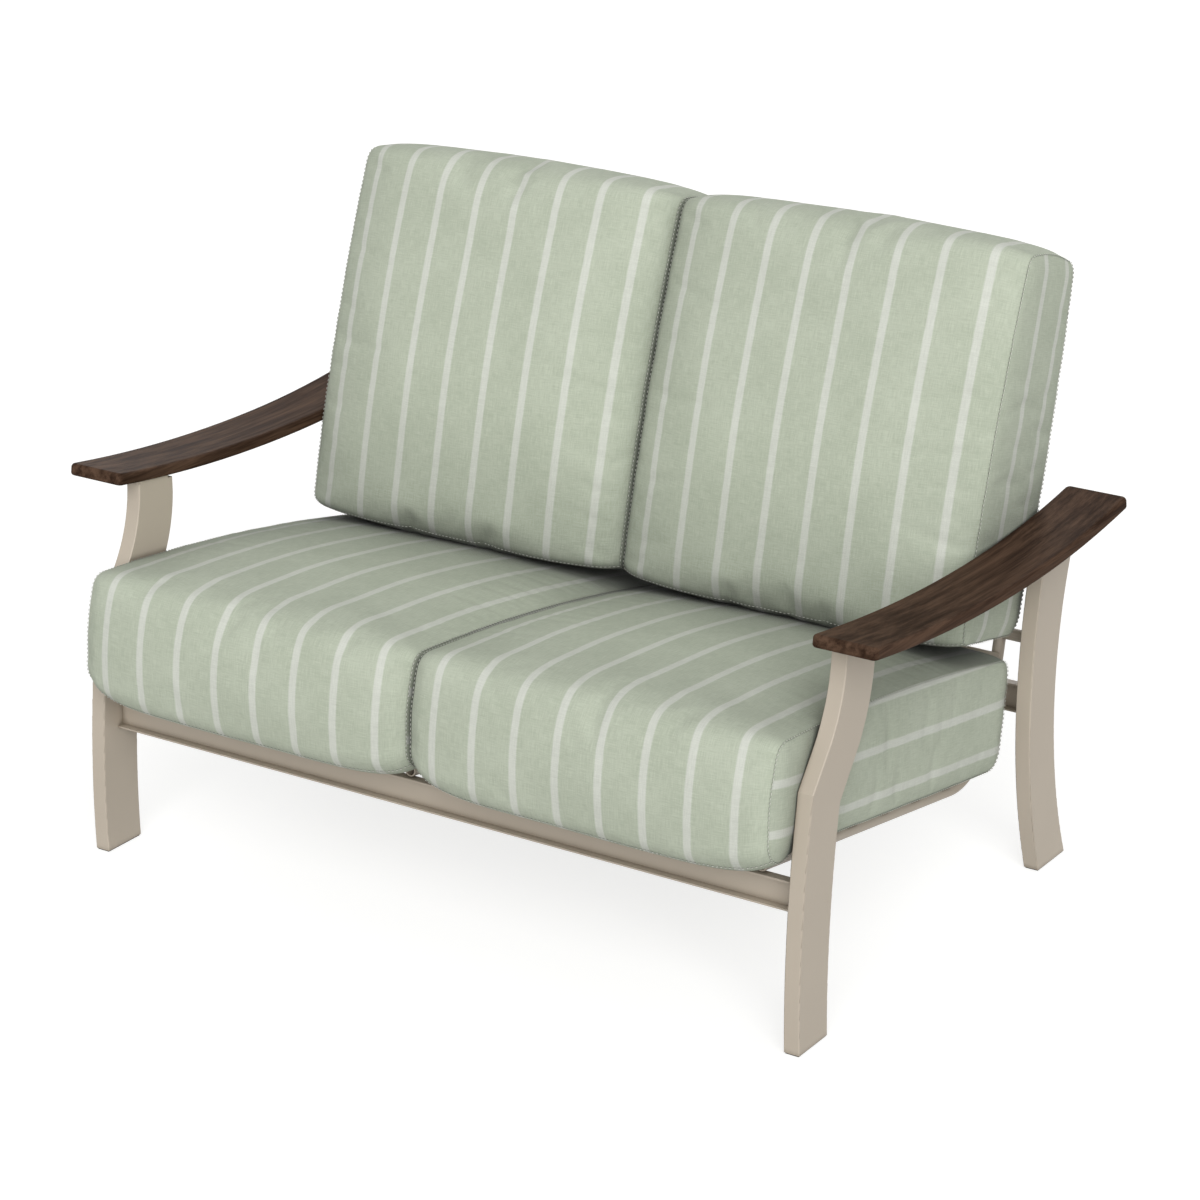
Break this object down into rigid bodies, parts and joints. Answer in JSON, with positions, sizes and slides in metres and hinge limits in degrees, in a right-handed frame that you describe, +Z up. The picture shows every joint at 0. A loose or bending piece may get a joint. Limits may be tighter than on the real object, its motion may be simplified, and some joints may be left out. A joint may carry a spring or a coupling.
{
  "type": "patio loveseat",
  "caption": "Outdoor loveseat on a slender metal frame, with dipped plank armrests and loose, boxed, striped seat and back cushions.",
  "frame": {"origin": "on the ground, at the middle of the whole loveseat's width and depth", "axes": "+X along the seat to the right as seen from in front, +Y from the front to the back, +Z up"},
  "size_m": [1.4136, 0.9206, 1.0001],
  "materials": {
    "frame_paint": "matte taupe powder coat",
    "arm_wood": "dark walnut colour, fine lengthwise grain, satin",
    "glide_plastic": "dark moulded plastic",
    "insert_brass": "turned",
    "screw_steel": "plain stainless",
    "cushion_fabric": "slubby sage linen weave with narrow pale stripes"
  },
  "bodies": {
    "frame": {"front_leg_right": "frame_paint", "front_leg_left": "frame_paint", "rear_leg_right": "frame_paint", "rear_leg_left": "frame_paint", "front_arm_plate_right": "frame_paint", "front_arm_plate_left": "frame_paint", "rear_arm_plate_right": "frame_paint", "rear_arm_plate_left": "frame_paint", "front_rail": "frame_paint", "rear_rail": "frame_paint", "outer_tube_right": "frame_paint", "outer_tube_left": "frame_paint", "inner_tube_right": "frame_paint", "inner_tube_left": "frame_paint", "tube_stub_right": "frame_paint", "tube_stub_left": "frame_paint", "top_tube": "frame_paint", "top_tube_cap_right": "glide_plastic", "top_tube_cap_left": "glide_plastic", "seat_slat_1": "frame_paint", "seat_slat_2": "frame_paint", "seat_slat_3": "frame_paint", "seat_slat_4": "frame_paint", "seat_slat_5": "frame_paint", "seat_slat_6": "frame_paint", "back_slat_1": "frame_paint", "back_slat_2": "frame_paint", "back_slat_3": "frame_paint", "back_slat_4": "frame_paint", "back_slat_5": "frame_paint", "back_slat_6": "frame_paint", "arm_right": "arm_wood", "arm_left": "arm_wood", "arm_inserts": "insert_brass", "arm_screws": "screw_steel", "front_glide_right": "glide_plastic", "front_glide_left": "glide_plastic", "rear_glide_right": "glide_plastic", "rear_glide_left": "glide_plastic"},
    "seat_cushion_right": {"seat_cushion_right": "cushion_fabric"},
    "seat_cushion_left": {"seat_cushion_left": "cushion_fabric"},
    "back_cushion_right": {"back_cushion_right": "cushion_fabric"},
    "back_cushion_left": {"back_cushion_left": "cushion_fabric"}
  },
  "joints": [
    {"name": "seat_cushion_right_slide", "type": "slide", "parent": "frame", "child": "seat_cushion_right", "axis": [0, -0.9866, 0.1633], "range_m": [0, 0.35]},
    {"name": "seat_cushion_left_slide", "type": "slide", "parent": "frame", "child": "seat_cushion_left", "axis": [0, -0.9866, 0.1633], "range_m": [0, 0.35]},
    {"name": "back_cushion_right_slide", "type": "slide", "parent": "frame", "child": "back_cushion_right", "axis": [0, 0.225, 0.9744], "range_m": [0, 0.3]},
    {"name": "back_cushion_left_slide", "type": "slide", "parent": "frame", "child": "back_cushion_left", "axis": [0, 0.225, 0.9744], "range_m": [0, 0.3]}
  ]
}
